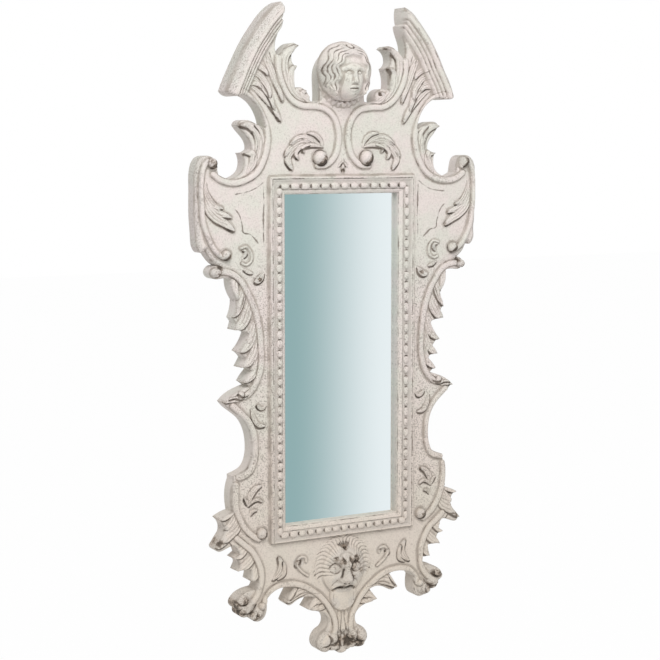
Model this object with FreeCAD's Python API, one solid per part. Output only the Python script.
import FreeCAD, Part
import math
import os

os.makedirs("parts", exist_ok=True)

# Driving sizes, mm
SIGHT_W = 148.0
SIGHT_H = 378.0
BEAD_RAIL_W = 17.0
SIDE_W = 92.0
CREST_H = 213.0
APRON_H = 160.0
BOARD_T = 20.0
BAND_W = 7.6
BAND_RISE = 4.0
SLIM_BAND_W = 5.0
SPRAY_RISE = 3.2
CORNICE_RISE = 13.0
CORNICE_STEP_DROP = 3.4
CORNICE_OUTER_W = 11.0
CORNICE_STEP_W = 6.5
OVERRUN = 40.0

# Volutes
CREST_VOLUTE_R = 9.0
EAR_VOLUTE_R = 7.8
SIDE_VOLUTE_R = 5.6
LOWER_VOLUTE_R = 8.4
FOOT_VOLUTE_R = 8.0
MIDDLE_VOLUTE_R = 9.4
VOLUTE_RISE = 10.0

# Sight frame
RAIL_T = 3.0
LIP_W = 3.6
LIP_RISE = 1.6
BEAD_INSET = 9.0
BEAD_R = 4.4
TOP_BEADS = 13
BOTTOM_BEADS = 15
LEFT_BEADS = 37
RIGHT_BEADS = 32

# Glass, panel and rebates
GLASS_T = 3.0
PANEL_T = 3.0
REBATE_W = 10.0
LEDGE_W = 14.0
LEDGE_DEPTH = 6.0
GLASS_CLEARANCE = 1.0

# Joints and fixings
DOWEL_R = 4.0
DOWEL_L = 36.0
DOWEL_CLEARANCE = 0.1
DOWEL_END_GAP = 1.0
BUTTON_L = 30.0
BUTTON_W = 10.0
BUTTON_T = 2.0
BUTTON_GAP = 0.2
SCREW_R = 1.75
SCREW_L = 10.0
SCREW_HEAD_R = 3.2
SCREW_HEAD_T = 1.5
SCREW_CLEARANCE = 0.05
PLATE_W = 20.0
PLATE_H = 52.0
PLATE_T = 1.6
PLATE_CLEARANCE = 0.2
PLATE_SCREW_INSET = 6.0
KEYHOLE_R = 5.0
KEYHOLE_SLOT_W = 5.0
KEYHOLE_RISE = 13.0
KEYHOLE_DROP = 17.0
POCKET_W = 13.0
POCKET_DEPTH = 8.0

# Crest head
HEAD_HALF_W = 34.0
HEAD_HALF_H = 35.0
HEAD_D = 20.0
FACE_HALF_W = 20.0
FACE_HALF_H = 27.0
FACE_HALF_D = 9.0
NOSE_HALF_W = 3.6
NOSE_HALF_H = 8.0
NOSE_HALF_D = 5.0
CURL_R = 6.5
RUFF_R = 5.5

# Apron mask
MASK_HALF_W = 26.0
MASK_HALF_H = 30.0
MASK_D = 10.0
MUZZLE_HALF_W = 14.0
MUZZLE_HALF_H = 11.0
MUZZLE_HALF_D = 7.0
CHIN_HALF_W = 14.0
CHIN_HALF_H = 17.0
CHIN_D = 6.5
BROW_R = 6.5
MANE_R = 4.6
MANE_L = 19.0
MANE_GAP = 2.6

# Pattern: shares across and up, stretched between the named sizes
HALF_SIGHT_W = SIGHT_W / 2
RAIL_HALF_W = HALF_SIGHT_W + BEAD_RAIL_W
ACROSS_SHARES = (0, 0.91, 1.83)
ACROSS_STOPS = (0, RAIL_HALF_W, RAIL_HALF_W + SIDE_W)
UP_SHARES = (0, 1.60, 5.38, 7.51)
UP_STOPS = (0, APRON_H, APRON_H + SIGHT_H, APRON_H + SIGHT_H + CREST_H)
HANG_SHARE = 5.96
SIGHT_BASE_SHARE = 1.60
SIGHT_TOP_SHARE = 5.38

# Right half of each board's outline, run by run between corners
CREST_RIM_SHARES = (
    ((0, 7.02), (0.17, 6.96), (0.28, 6.80), (0.29, 6.58), (0.29, 6.43)),
    ((0.36, 6.41), (0.43, 6.43)),
    ((0.445, 6.52), (0.51, 6.57), (0.61, 6.555)),
    ((0.62, 6.66), (0.585, 6.81)),
    ((0.645, 6.88), (0.63, 6.97), (0.555, 7.03)),
    ((0.61, 7.065), (0.69, 7.04), (0.76, 6.97), (0.82, 6.91)),
    ((0.85, 6.99), (0.835, 7.11), (0.79, 7.23), (0.775, 7.30)),
    ((0.805, 7.32),),
    ((0.79, 7.42), (0.80, 7.51)),
    ((0.91, 7.44), (1.06, 7.27), (1.21, 7.05), (1.34, 6.80), (1.425, 6.62), (1.465, 6.52)),
    ((1.43, 6.485), (1.28, 6.48)),
    ((1.19, 6.455), (1.09, 6.375), (1.02, 6.26), (0.985, 6.12)),
    ((1.09, 6.165), (1.20, 6.205), (1.28, 6.19), (1.305, 6.15)),
    ((1.24, 6.07), (1.165, 5.98), (1.145, 5.885)),
    ((1.19, 5.855), (1.26, 5.845)),
    ((1.23, 5.74), (1.26, 5.64), (1.33, 5.585), (1.405, 5.56), (1.48, 5.575), (1.55, 5.61)),
    ((1.565, 5.70), (1.60, 5.785), (1.68, 5.815), (1.765, 5.785), (1.815, 5.69), (1.83, 5.54),
     (1.83, 5.38)),
)
STILE_RIM_SHARES = (
    ((1.83, 5.38), (1.83, 5.15), (1.815, 4.92), (1.795, 4.80), (1.755, 4.755), (1.71, 4.78)),
    ((1.665, 4.71), (1.61, 4.645), (1.55, 4.60)),
    ((1.62, 4.595), (1.66, 4.53), (1.62, 4.47), (1.52, 4.465), (1.41, 4.45)),
    ((1.40, 4.36), (1.335, 4.22)),
    ((1.345, 4.12), (1.38, 4.02)),
    ((1.345, 3.97),),
    ((1.37, 3.885),),
    ((1.28, 3.875), (1.195, 3.84)),
    ((1.24, 3.74), (1.32, 3.64)),
    ((1.27, 3.605), (1.235, 3.56)),
    ((1.295, 3.46),),
    ((1.22, 3.455), (1.165, 3.42)),
    ((1.21, 3.37), (1.265, 3.295)),
    ((1.23, 3.27), (1.195, 3.245)),
    ((1.29, 3.215), (1.40, 3.165), (1.50, 3.08)),
    ((1.40, 2.98), (1.27, 2.875), (1.185, 2.72), (1.16, 2.56), (1.175, 2.41), (1.235, 2.305),
     (1.31, 2.265), (1.385, 2.24)),
    ((1.385, 2.19),),
    ((1.415, 2.08), (1.42, 1.96), (1.405, 1.835)),
    ((1.48, 1.815), (1.57, 1.77)),
    ((1.51, 1.69), (1.51, 1.60)),
)
APRON_RIM_SHARES = (
    ((1.51, 1.60), (1.56, 1.53), (1.615, 1.45)),
    ((1.585, 1.405), (1.48, 1.425), (1.385, 1.445)),
    ((1.345, 1.40), (1.325, 1.345)),
    ((1.39, 1.30),),
    ((1.33, 1.265), (1.315, 1.225)),
    ((1.35, 1.15),),
    ((1.26, 1.155), (1.18, 1.145)),
    ((1.18, 1.09), (1.195, 1.025)),
    ((1.14, 1.01), (1.10, 1.02)),
    ((1.095, 0.965), (1.12, 0.915)),
    ((1.22, 0.90), (1.32, 0.855), (1.38, 0.775), (1.33, 0.695)),
    ((1.315, 0.63), (1.26, 0.605), (1.205, 0.625)),
    ((1.16, 0.56), (1.08, 0.53), (1.005, 0.57), (0.975, 0.67), (0.985, 0.79)),
    ((0.92, 0.85), (0.83, 0.88), (0.74, 0.885), (0.645, 0.87)),
    ((0.69, 0.80), (0.74, 0.71)),
    ((0.68, 0.665), (0.60, 0.70), (0.50, 0.735), (0.38, 0.715)),
    ((0.42, 0.655), (0.465, 0.595)),
    ((0.36, 0.555), (0.25, 0.515), (0.185, 0.44), (0.185, 0.36), (0.225, 0.305)),
    ((0.30, 0.255), (0.335, 0.165), (0.295, 0.075), (0.19, 0.05), (0.09, 0.065)),
    ((0.05, 0.015), (0, 0)),
)

# Middle lines of the right-hand bands
CREST_SCROLL_SHARES = (
    (0.33, 5.70), (0.22, 5.71), (0.115, 5.80), (0.065, 5.94), (0.065, 6.10), (0.12, 6.24),
    (0.23, 6.335), (0.37, 6.365), (0.51, 6.37), (0.62, 6.415), (0.715, 6.51), (0.785, 6.63),
    (0.83, 6.77), (0.84, 6.87),
)
SHOULDER_SCROLL_SHARES = (
    (1.14, 6.40), (1.06, 6.315), (0.99, 6.20), (0.955, 6.08), (0.955, 5.95), (0.985, 5.83),
    (1.04, 5.72), (1.12, 5.615), (1.22, 5.55), (1.33, 5.515), (1.44, 5.515), (1.54, 5.545), (1.60, 5.585),
)
EAR_RIM_SHARES = (
    (1.70, 5.745), (1.755, 5.70), (1.785, 5.58), (1.79, 5.42), (1.785, 5.25), (1.765, 5.08),
    (1.725, 4.95), (1.67, 4.83), (1.605, 4.735), (1.54, 4.68),
)
SIDE_SCROLL_SHARES = (
    (1.61, 4.53), (1.51, 4.54), (1.40, 4.51), (1.30, 4.43), (1.22, 4.31), (1.15, 4.17),
    (1.10, 4.02), (1.07, 3.87), (1.055, 3.70), (1.05, 3.54), (1.07, 3.40), (1.11, 3.285),
    (1.17, 3.195), (1.25, 3.14), (1.34, 3.115), (1.42, 3.105),
)
WAIST_BAND_SHARES = (
    (1.36, 3.005), (1.29, 2.95), (1.21, 2.86), (1.145, 2.73), (1.12, 2.58), (1.13, 2.42), (1.17, 2.31),
    (1.24, 2.25), (1.31, 2.225),
)
LOWER_SCROLL_SHARES = (
    (1.37, 2.14), (1.375, 2.02), (1.37, 1.91), (1.34, 1.79), (1.29, 1.68), (1.22, 1.59),
    (1.15, 1.53), (1.09, 1.505),
)
HOOK_CURL_SHARES = (
    (1.29, 4.795), (1.22, 4.81), (1.165, 4.74), (1.17, 4.65), (1.23, 4.61), (1.28, 4.625),
)
APRON_SCROLL_SHARES = (
    (1.27, 1.41), (1.18, 1.36), (1.115, 1.27), (1.075, 1.17), (1.06, 1.07), (1.07, 0.96), (1.105, 0.86),
    (1.165, 0.785), (1.23, 0.75),
)
ARCH_BAND_SHARES = (
    (1.03, 0.71), (0.99, 0.81), (0.92, 0.885), (0.83, 0.92), (0.73, 0.928), (0.62, 0.915),
    (0.51, 0.875), (0.41, 0.815), (0.31, 0.735), (0.22, 0.635), (0.15, 0.52), (0.125, 0.42),
    (0.145, 0.31), (0.20, 0.23),
)

# Middles of the right-hand volutes, in radii from the end of their band
CREST_VOLUTE_SHARES = (-0.11, 0.83)
EAR_TOP_VOLUTE_SHARES = (-0.51, -0.13)
EAR_FOOT_VOLUTE_SHARES = (-0.45, 0.51)
SIDE_VOLUTE_SHARES = (-0.27, 0)
LOWER_VOLUTE_SHARES = (-0.30, 0.42)
FOOT_VOLUTE_SHARES = (0.75, 0.25)
CORNER_VOLUTE_SHARES = (0.50, -0.87)
MIDDLE_VOLUTE_SHARES = (-0.32, -0.69)

# Outlines of the right-hand leaves on the face of the boards
CREST_SPRAY_SHARES = (
    ((0.24, 5.90), (0.28, 5.98), (0.36, 6.04), (0.465, 6.055)),
    ((0.50, 6.00), (0.60, 5.995), (0.685, 5.94)),
    ((0.69, 5.88), (0.755, 5.80)),
    ((0.73, 5.71), (0.65, 5.645)),
    ((0.62, 5.74), (0.57, 5.82), (0.50, 5.84)),
    ((0.47, 5.88), (0.36, 5.905), (0.24, 5.90)),
)
EAR_LEAF_SHARES = (
    ((1.725, 5.48), (1.66, 5.36), (1.56, 5.28), (1.47, 5.25)),
    ((1.52, 5.20), (1.45, 5.16), (1.385, 5.13)),
    ((1.42, 5.08), (1.35, 4.97)),
    ((1.47, 5.03), (1.60, 5.09), (1.70, 5.18)),
    ((1.735, 5.32), (1.725, 5.48)),
)

# Places on the pattern of dowels, buttons and head
TOP_DOWEL_SHARES = (1.12, 1.66)
BASE_DOWEL_SHARES = (1.04, 1.24)
BUTTON_UP_SHARES = (2.45, 4.53)
HEAD_SHARE = 6.74

# Places on the head, in its half width and half height from its middle
FACE_SHARES = (0, -0.03)
CURL_SHARES = ((0.50, 0.71), (0.72, 0.37), (0.79, -0.03), (0.72, -0.43))
RUFF_SHARES = ((-0.59, -0.91), (-0.29, -0.91), (0, -0.91), (0.29, -0.91), (0.59, -0.91))

# Places on the mask, in its half width and half height from its middle, and turns of its mane
MUZZLE_SHARES = (0, -0.43)
CHIN_SHARES = (0, -1)
BROW_SHARES = (0.42, 0.43)
MANE_TURN_SHARES = (-0.30, -0.19, -0.095, 0, 0.095, 0.19, 0.30)


def vec(x, y, z):
    return FreeCAD.Vector(x, y, z)


def stretch(share, shares, stops):
    for low, high, start, end in zip(shares, shares[1:], stops, stops[1:]):
        if share <= high:
            break
    return start + (share - low) / (high - low) * (end - start)


def across(share):
    return math.copysign(stretch(abs(share), ACROSS_SHARES, ACROSS_STOPS), share)


def up(share):
    return stretch(share, UP_SHARES, UP_STOPS) - stretch(HANG_SHARE, UP_SHARES, UP_STOPS)


FRONT_Y = -BOARD_T
GLASS_Y = -LEDGE_DEPTH - PANEL_T - GLASS_T
SIGHT_TOP = up(SIGHT_TOP_SHARE)
SIGHT_BASE = up(SIGHT_BASE_SHARE)
OUTWARD = vec(0, -1, 0)


def spot(place, side=1, y=FRONT_Y):
    return vec(side * across(place[0]), y, up(place[1]))


def curve(points):
    if len(points) == 2:
        return Part.makeLine(points[0], points[1])
    spline = Part.BSplineCurve()
    spline.interpolate(points)
    return spline.toShape()


def run_edges(runs, side, y):
    edges = []
    last = None
    for run in runs:
        points = [spot(place, side, y) for place in run]
        if last is not None:
            points = [last] + points
        edges.append(curve(points))
        last = points[-1]
    return edges


def prism(edges, depth):
    wire = Part.Wire(Part.__sortEdges__(edges))
    return Part.Face(wire).extrude(vec(0, -depth, 0))


def block(x0, x1, y0, y1, z0, z1):
    return Part.makeBox(x1 - x0, y1 - y0, z1 - z0, vec(x0, y0, z0))


def rod(radius, length, base, direction):
    return Part.makeCylinder(radius, length, base, direction)


def blob(half_w, half_d, half_h, centre):
    matrix = FreeCAD.Matrix()
    matrix.scale(half_w, half_d, half_h)
    ball = Part.makeSphere(1).transformGeometry(matrix)
    ball.translate(centre)
    return ball


def joined(shapes):
    return shapes[0].multiFuse(shapes[1:]).removeSplitter()


def in_front(shape):
    box = shape.BoundBox
    behind = block(box.XMin - OVERRUN, box.XMax + OVERRUN, FRONT_Y, box.YMax + OVERRUN,
                   box.ZMin - OVERRUN, box.ZMax + OVERRUN)
    return shape.cut(behind)


# Boards
def board_cuts():
    glass_x = HALF_SIGHT_W + REBATE_W
    ledge_x = glass_x + LEDGE_W
    glass_cut = block(-glass_x, glass_x, GLASS_Y, OVERRUN, SIGHT_BASE - REBATE_W, SIGHT_TOP + REBATE_W)
    reach = REBATE_W + LEDGE_W
    ledge_cut = block(-ledge_x, ledge_x, -LEDGE_DEPTH, OVERRUN, SIGHT_BASE - reach, SIGHT_TOP + reach)
    return [glass_cut, ledge_cut] + dowel_holes() + button_holes() + [keyhole_pocket()]


def crest_edges():
    right = run_edges(CREST_RIM_SHARES, 1, 0)
    left = run_edges(CREST_RIM_SHARES, -1, 0)
    end = CREST_RIM_SHARES[-1][-1]
    return right + left + [Part.makeLine(spot(end, 1, 0), spot(end, -1, 0))]


def crest_rail():
    return prism(crest_edges(), BOARD_T).cut(board_cuts())


def stile(side):
    edges = run_edges(STILE_RIM_SHARES, side, 0)
    top = spot(STILE_RIM_SHARES[0][0], side, 0)
    base = spot(STILE_RIM_SHARES[-1][-1], side, 0)
    inner_top = vec(side * HALF_SIGHT_W, 0, SIGHT_TOP)
    inner_base = vec(side * HALF_SIGHT_W, 0, SIGHT_BASE)
    edges.append(Part.makeLine(base, inner_base))
    edges.append(Part.makeLine(inner_base, inner_top))
    edges.append(Part.makeLine(inner_top, top))
    return prism(edges, BOARD_T).cut(board_cuts())


def apron_rail():
    right = run_edges(APRON_RIM_SHARES, 1, 0)
    left = run_edges(APRON_RIM_SHARES, -1, 0)
    start = APRON_RIM_SHARES[0][0]
    top = Part.makeLine(spot(start, 1, 0), spot(start, -1, 0))
    return prism(right + left + [top], BOARD_T).cut(board_cuts())


# Dowels in the four board joints
def dowel_spots():
    spots = []
    for side in (-1, 1):
        for share in TOP_DOWEL_SHARES:
            spots.append(vec(side * across(share), FRONT_Y / 2, SIGHT_TOP))
        for share in BASE_DOWEL_SHARES:
            spots.append(vec(side * across(share), FRONT_Y / 2, SIGHT_BASE))
    return spots


def dowel_rods(radius, length):
    return [rod(radius, length, place - vec(0, 0, length / 2), vec(0, 0, 1)) for place in dowel_spots()]


def dowel_holes():
    return dowel_rods(DOWEL_R + DOWEL_CLEARANCE, DOWEL_L + 2 * DOWEL_END_GAP)


# Turn buttons that hold the back panel
def button_spots():
    pivot_x = HALF_SIGHT_W + REBATE_W + LEDGE_W / 2
    pivot_reach = REBATE_W + LEDGE_W / 2
    low, high = [up(share) for share in BUTTON_UP_SHARES]
    return {
        "turn_button_left_upper": (vec(-pivot_x, -LEDGE_DEPTH, high), vec(1, 0, 0)),
        "turn_button_left_lower": (vec(-pivot_x, -LEDGE_DEPTH, low), vec(1, 0, 0)),
        "turn_button_right_upper": (vec(pivot_x, -LEDGE_DEPTH, high), vec(-1, 0, 0)),
        "turn_button_right_lower": (vec(pivot_x, -LEDGE_DEPTH, low), vec(-1, 0, 0)),
        "turn_button_top": (vec(0, -LEDGE_DEPTH, SIGHT_TOP + pivot_reach), vec(0, 0, -1)),
        "turn_button_bottom": (vec(0, -LEDGE_DEPTH, SIGHT_BASE - pivot_reach), vec(0, 0, 1)),
    }


def turn_button(place, inward):
    backward = vec(0, 1, 0)
    half = BUTTON_W / 2
    base = place + vec(0, BUTTON_GAP, 0)
    tip = base + inward * (BUTTON_L - BUTTON_W)
    lateral = inward.cross(backward) * half
    corners = [base + lateral, tip + lateral, tip - lateral, base - lateral, base + lateral]
    bar = Part.Face(Part.makePolygon(corners)).extrude(backward * BUTTON_T)
    ends = [rod(half, BUTTON_T, base, backward), rod(half, BUTTON_T, tip, backward)]
    bore = rod(SCREW_R + SCREW_CLEARANCE, OVERRUN, base - backward * BUTTON_T, backward)
    return joined([bar] + ends).cut(bore)


def button_screw(place):
    head_y = BUTTON_T + 2 * BUTTON_GAP
    shank_base = place + vec(0, head_y, 0)
    shank = rod(SCREW_R, SCREW_L, shank_base, OUTWARD)
    head = rod(SCREW_HEAD_R, SCREW_HEAD_T, shank_base, vec(0, 1, 0))
    return joined([shank, head])


def button_holes():
    radius = SCREW_R + SCREW_CLEARANCE
    return [rod(radius, SCREW_L, place, OUTWARD) for place, inward in button_spots().values()]


def button_screws():
    return Part.makeCompound([button_screw(place) for place, inward in button_spots().values()])


# Keyhole plate in the back of the crest rail
def plate_block(margin, y0, y1):
    half_w = PLATE_W / 2 + margin
    return block(-half_w, half_w, y0, y1, -KEYHOLE_DROP - margin, PLATE_H - KEYHOLE_DROP + margin)


def plate_screw_spots():
    low = -KEYHOLE_DROP + PLATE_SCREW_INSET
    high = PLATE_H - KEYHOLE_DROP - PLATE_SCREW_INSET
    return [vec(0, 0, low), vec(0, 0, high)]


def keyhole_plate():
    plate = plate_block(0, -PLATE_T, 0)
    entry = rod(KEYHOLE_R, OVERRUN, vec(0, OVERRUN / 2, 0), OUTWARD)
    half = KEYHOLE_SLOT_W / 2
    slot = block(-half, half, -OVERRUN, OVERRUN, 0, KEYHOLE_RISE)
    slot_end = rod(half, OVERRUN, vec(0, OVERRUN / 2, KEYHOLE_RISE), OUTWARD)
    holes = [entry, slot, slot_end]
    for place in plate_screw_spots():
        holes.append(countersunk(place, SCREW_CLEARANCE))
    return plate.cut(holes)


def countersunk(place, margin):
    shank = rod(SCREW_R + margin, SCREW_L, place, OUTWARD)
    head = Part.makeCone(SCREW_HEAD_R + margin, SCREW_R + margin, SCREW_HEAD_T, place, OUTWARD)
    return joined([head, shank])


def plate_screws():
    return Part.makeCompound([countersunk(place, 0) for place in plate_screw_spots()])


def keyhole_pocket():
    recess = plate_block(PLATE_CLEARANCE, -PLATE_T, OVERRUN)
    half = POCKET_W / 2
    well = block(-half, half, -PLATE_T - POCKET_DEPTH, OVERRUN, 0, KEYHOLE_RISE)
    ends = [rod(half, PLATE_T + POCKET_DEPTH, vec(0, 0, z), OUTWARD) for z in (0, KEYHOLE_RISE)]
    pilots = [rod(SCREW_R + SCREW_CLEARANCE, SCREW_L, place, OUTWARD) for place in plate_screw_spots()]
    return joined([recess, well] + ends + pilots)


# Glass and panel in the rebate
def rebate_sheet(y, thickness):
    reach = REBATE_W - GLASS_CLEARANCE
    half_w = HALF_SIGHT_W + reach
    return block(-half_w, half_w, y, y + thickness, SIGHT_BASE - reach, SIGHT_TOP + reach)


# Beaded rails, mitred at the corners
def sight_corner(side_x, side_z, reach):
    edge = SIGHT_TOP if side_z > 0 else SIGHT_BASE
    return vec(side_x * (HALF_SIGHT_W + reach), FRONT_Y, edge + side_z * reach)


def mitred(ends, near, far, thickness):
    first, last = ends
    places = ((first, near), (last, near), (last, far), (first, far))
    corners = [sight_corner(*corner, reach) for corner, reach in places]
    return Part.Face(Part.makePolygon(corners + corners[:1])).extrude(OUTWARD * thickness)


def bead_rail(ends, count):
    flat = mitred(ends, 0, BEAD_RAIL_W, RAIL_T)
    lip = mitred(ends, BEAD_RAIL_W - LIP_W, BEAD_RAIL_W, RAIL_T + LIP_RISE)
    start = sight_corner(*ends[0], BEAD_INSET) + OUTWARD * RAIL_T
    end = sight_corner(*ends[1], BEAD_INSET) + OUTWARD * RAIL_T
    step = (end - start) / count
    beads = [Part.makeSphere(BEAD_R, start + step * (k + 1 / 2)) for k in range(count)]
    room = mitred(ends, 0, BEAD_RAIL_W, RAIL_T + BEAD_R)
    return joined([flat, lip] + beads).common(room)


# Bands and volutes on the face of the boards
def band(places, side, width):
    spine = curve([spot(place, side) for place in places])
    start = spine.valueAt(spine.FirstParameter)
    lateral = spine.tangentAt(spine.FirstParameter).cross(OUTWARD) * (width / 2)
    shoulder = OUTWARD * (BAND_RISE / 2)
    left_base = start - lateral
    right_base = start + lateral
    crown = start + OUTWARD * BAND_RISE
    dome = Part.Arc(right_base + shoulder, crown, left_base + shoulder).toShape()
    lines = [
        Part.makeLine(left_base, right_base),
        Part.makeLine(right_base, right_base + shoulder),
        dome,
        Part.makeLine(left_base + shoulder, left_base),
    ]
    pipe = Part.BRepOffsetAPI.MakePipeShell(Part.Wire([spine]))
    pipe.setBiNormalMode(OUTWARD)
    pipe.add(Part.Wire(lines))
    pipe.build()
    pipe.makeSolid()
    return pipe.shape()


def volute(band_end, lean_shares, side, radius):
    lean = vec(side * lean_shares[0], 0, lean_shares[1]) * radius
    knob = rod(radius, VOLUTE_RISE, spot(band_end, side) + lean, OUTWARD)
    flat = [edge for edge in knob.Edges if edge.BoundBox.YLength < radius / 2]
    rims = [edge for edge in flat if edge.BoundBox.YMax < FRONT_Y]
    return knob.makeFillet(radius / 2, rims[:1])


def crest_scroll(side):
    knob = volute(CREST_SCROLL_SHARES[0], CREST_VOLUTE_SHARES, side, CREST_VOLUTE_R)
    return joined([band(CREST_SCROLL_SHARES, side, BAND_W), knob])


def ear_top_volute(side):
    return volute(EAR_RIM_SHARES[0], EAR_TOP_VOLUTE_SHARES, side, EAR_VOLUTE_R)


def shoulder_scroll(side):
    return band(SHOULDER_SCROLL_SHARES, side, BAND_W).cut(ear_top_volute(side))


def ear_rim(side):
    foot = volute(EAR_RIM_SHARES[-1], EAR_FOOT_VOLUTE_SHARES, side, EAR_VOLUTE_R)
    return joined([band(EAR_RIM_SHARES, side, BAND_W), ear_top_volute(side), foot])


def side_scroll(side):
    knob = volute(SIDE_SCROLL_SHARES[0], SIDE_VOLUTE_SHARES, side, SIDE_VOLUTE_R)
    return joined([band(SIDE_SCROLL_SHARES, side, BAND_W), knob])


def waist_band(side):
    return band(WAIST_BAND_SHARES, side, BAND_W)


def lower_scroll(side):
    knob = volute(LOWER_SCROLL_SHARES[-1], LOWER_VOLUTE_SHARES, side, LOWER_VOLUTE_R)
    return joined([band(LOWER_SCROLL_SHARES, side, BAND_W), knob])


def hook_curl(side):
    return band(HOOK_CURL_SHARES, side, SLIM_BAND_W)


def apron_scroll(side):
    knob = volute(APRON_SCROLL_SHARES[-1], FOOT_VOLUTE_SHARES, side, FOOT_VOLUTE_R)
    return joined([band(APRON_SCROLL_SHARES, side, BAND_W), knob])


def arch_band(side):
    corner = volute(ARCH_BAND_SHARES[0], CORNER_VOLUTE_SHARES, side, FOOT_VOLUTE_R)
    middle = volute(ARCH_BAND_SHARES[-1], MIDDLE_VOLUTE_SHARES, side, MIDDLE_VOLUTE_R)
    return joined([band(ARCH_BAND_SHARES, side, BAND_W), corner, middle])


# Leaves on the face of the boards
def leaf(runs, side):
    return prism(run_edges(runs, side, FRONT_Y), SPRAY_RISE)


# Stepped cornices along the wings
def cornice(side):
    edge_run = CREST_RIM_SHARES[9]
    start = CREST_RIM_SHARES[8][-1]
    points = [spot(place, side) for place in (start,) + edge_run]
    lead = (points[0] - points[1]).normalize() * OVERRUN
    tail = (points[-1] - points[-2]).normalize() * OVERRUN
    spine = curve([points[0] + lead] + points + [points[-1] + tail])
    origin = spine.valueAt(spine.FirstParameter)
    inward = spine.tangentAt(spine.FirstParameter).cross(OUTWARD) * side
    width = -CORNICE_OUTER_W
    height = CORNICE_RISE
    corners = [origin + inward * width, origin + inward * width + OUTWARD * height]
    width = CORNICE_OUTER_W
    for step in range(3):
        corners.append(origin + inward * width + OUTWARD * height)
        height -= CORNICE_STEP_DROP
        corners.append(origin + inward * width + OUTWARD * height)
        width += CORNICE_STEP_W
    corners[-1] = origin + inward * (width - CORNICE_STEP_W)
    pipe = Part.BRepOffsetAPI.MakePipeShell(Part.Wire([spine]))
    pipe.setBiNormalMode(OUTWARD)
    pipe.add(Part.makePolygon(corners + corners[:1]))
    pipe.build()
    pipe.makeSolid()
    return pipe.shape().common(prism(crest_edges(), BOARD_T + CORNICE_RISE))


# Head on the middle of the crest
def head_spot(place, side, y):
    return vec(side * place[0] * HEAD_HALF_W, y, up(HEAD_SHARE) + place[1] * HEAD_HALF_H)


def crest_head():
    crown = blob(HEAD_HALF_W, HEAD_D, HEAD_HALF_H, vec(0, FRONT_Y, up(HEAD_SHARE)))
    face_place = head_spot(FACE_SHARES, 1, FRONT_Y - HEAD_D + FACE_HALF_D / 3)
    face = blob(FACE_HALF_W, FACE_HALF_D, FACE_HALF_H, face_place)
    nose = blob(NOSE_HALF_W, NOSE_HALF_D, NOSE_HALF_H, face_place + OUTWARD * FACE_HALF_D)
    curls = []
    for place in CURL_SHARES:
        for side in (-1, 1):
            curls.append(Part.makeSphere(CURL_R, head_spot(place, side, FRONT_Y - HEAD_D / 2)))
    ruff = [Part.makeSphere(RUFF_R, head_spot(place, 1, FRONT_Y - RUFF_R)) for place in RUFF_SHARES]
    return in_front(joined([crown, face, nose] + curls + ruff))


# Mask on the middle of the apron, under the sight frame
def mask_spot(place, side, y):
    mane_top = SIGHT_BASE - BEAD_RAIL_W - MANE_GAP
    middle = mane_top - MANE_L - MASK_HALF_W + MANE_R
    return vec(side * place[0] * MASK_HALF_W, y, middle + place[1] * MASK_HALF_H)


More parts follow.
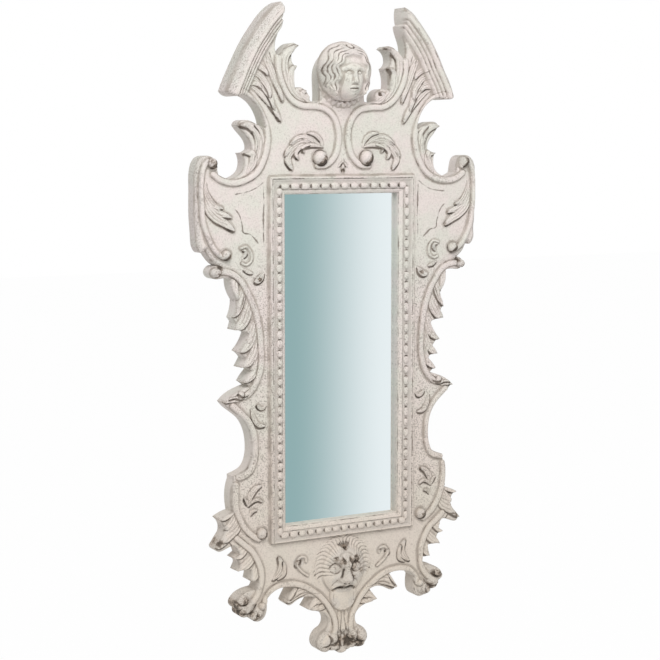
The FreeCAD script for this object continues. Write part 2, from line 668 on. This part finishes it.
def apron_mask():
    face = blob(MASK_HALF_W, MASK_D, MASK_HALF_H, mask_spot((0, 0), 1, FRONT_Y))
    muzzle_y = FRONT_Y - MASK_D + MUZZLE_HALF_D / 4
    muzzle = blob(MUZZLE_HALF_W, MUZZLE_HALF_D, MUZZLE_HALF_H, mask_spot(MUZZLE_SHARES, 1, muzzle_y))
    chin = blob(CHIN_HALF_W, CHIN_D, CHIN_HALF_H, mask_spot(CHIN_SHARES, 1, FRONT_Y))
    brow_y = FRONT_Y - MASK_D / 2
    brows = [Part.makeSphere(BROW_R, mask_spot(BROW_SHARES, side, brow_y)) for side in (-1, 1)]
    locks = []
    for share in MANE_TURN_SHARES:
        turn = share * math.pi
        aim = vec(math.sin(turn), 0, math.cos(turn))
        root = mask_spot((0, 0), 1, FRONT_Y - MANE_R / 2) + aim * MASK_HALF_W
        lock_l = MANE_L * math.cos(turn / 2)
        locks.append(Part.makeCone(MANE_R, MANE_R / 3, lock_l, root - aim * MANE_R, aim))
    return in_front(joined([face, muzzle, chin] + brows + locks))


def save(name, shape):
    shape.exportStep("parts/" + name + ".step")
    print(name, len(shape.Solids), round(shape.Volume), shape.isValid())


SIDES = {"left": -1, "right": 1}

save("crest_rail", crest_rail())
save("apron_rail", apron_rail())
save("joint_dowels", Part.makeCompound(dowel_rods(DOWEL_R, DOWEL_L)))
for side_name, side in SIDES.items():
    save(side_name + "_stile", stile(side))
    save(side_name + "_cornice", cornice(side))
    save(side_name + "_crest_scroll", crest_scroll(side))
    save(side_name + "_crest_spray", leaf(CREST_SPRAY_SHARES, side))
    save(side_name + "_shoulder_scroll", shoulder_scroll(side))
    save(side_name + "_ear_rim", ear_rim(side))
    save(side_name + "_ear_leaf", leaf(EAR_LEAF_SHARES, side))
    save(side_name + "_side_scroll", side_scroll(side))
    save(side_name + "_hook_curl", hook_curl(side))
    save(side_name + "_waist_band", waist_band(side))
    save(side_name + "_lower_scroll", lower_scroll(side))
    save(side_name + "_apron_scroll", apron_scroll(side))
    save(side_name + "_arch_band", arch_band(side))
save("crest_head", crest_head())
save("apron_mask", apron_mask())
save("top_bead_rail", bead_rail(((-1, 1), (1, 1)), TOP_BEADS))
save("bottom_bead_rail", bead_rail(((-1, -1), (1, -1)), BOTTOM_BEADS))
save("left_bead_rail", bead_rail(((-1, -1), (-1, 1)), LEFT_BEADS))
save("right_bead_rail", bead_rail(((1, -1), (1, 1)), RIGHT_BEADS))
save("mirror_glass", rebate_sheet(GLASS_Y, GLASS_T))
save("back_panel", rebate_sheet(GLASS_Y + GLASS_T, PANEL_T))
save("keyhole_plate", keyhole_plate())
save("keyhole_screws", plate_screws())
for button_name, (place, inward) in button_spots().items():
    save(button_name, turn_button(place, inward))
save("turn_button_screws", button_screws())
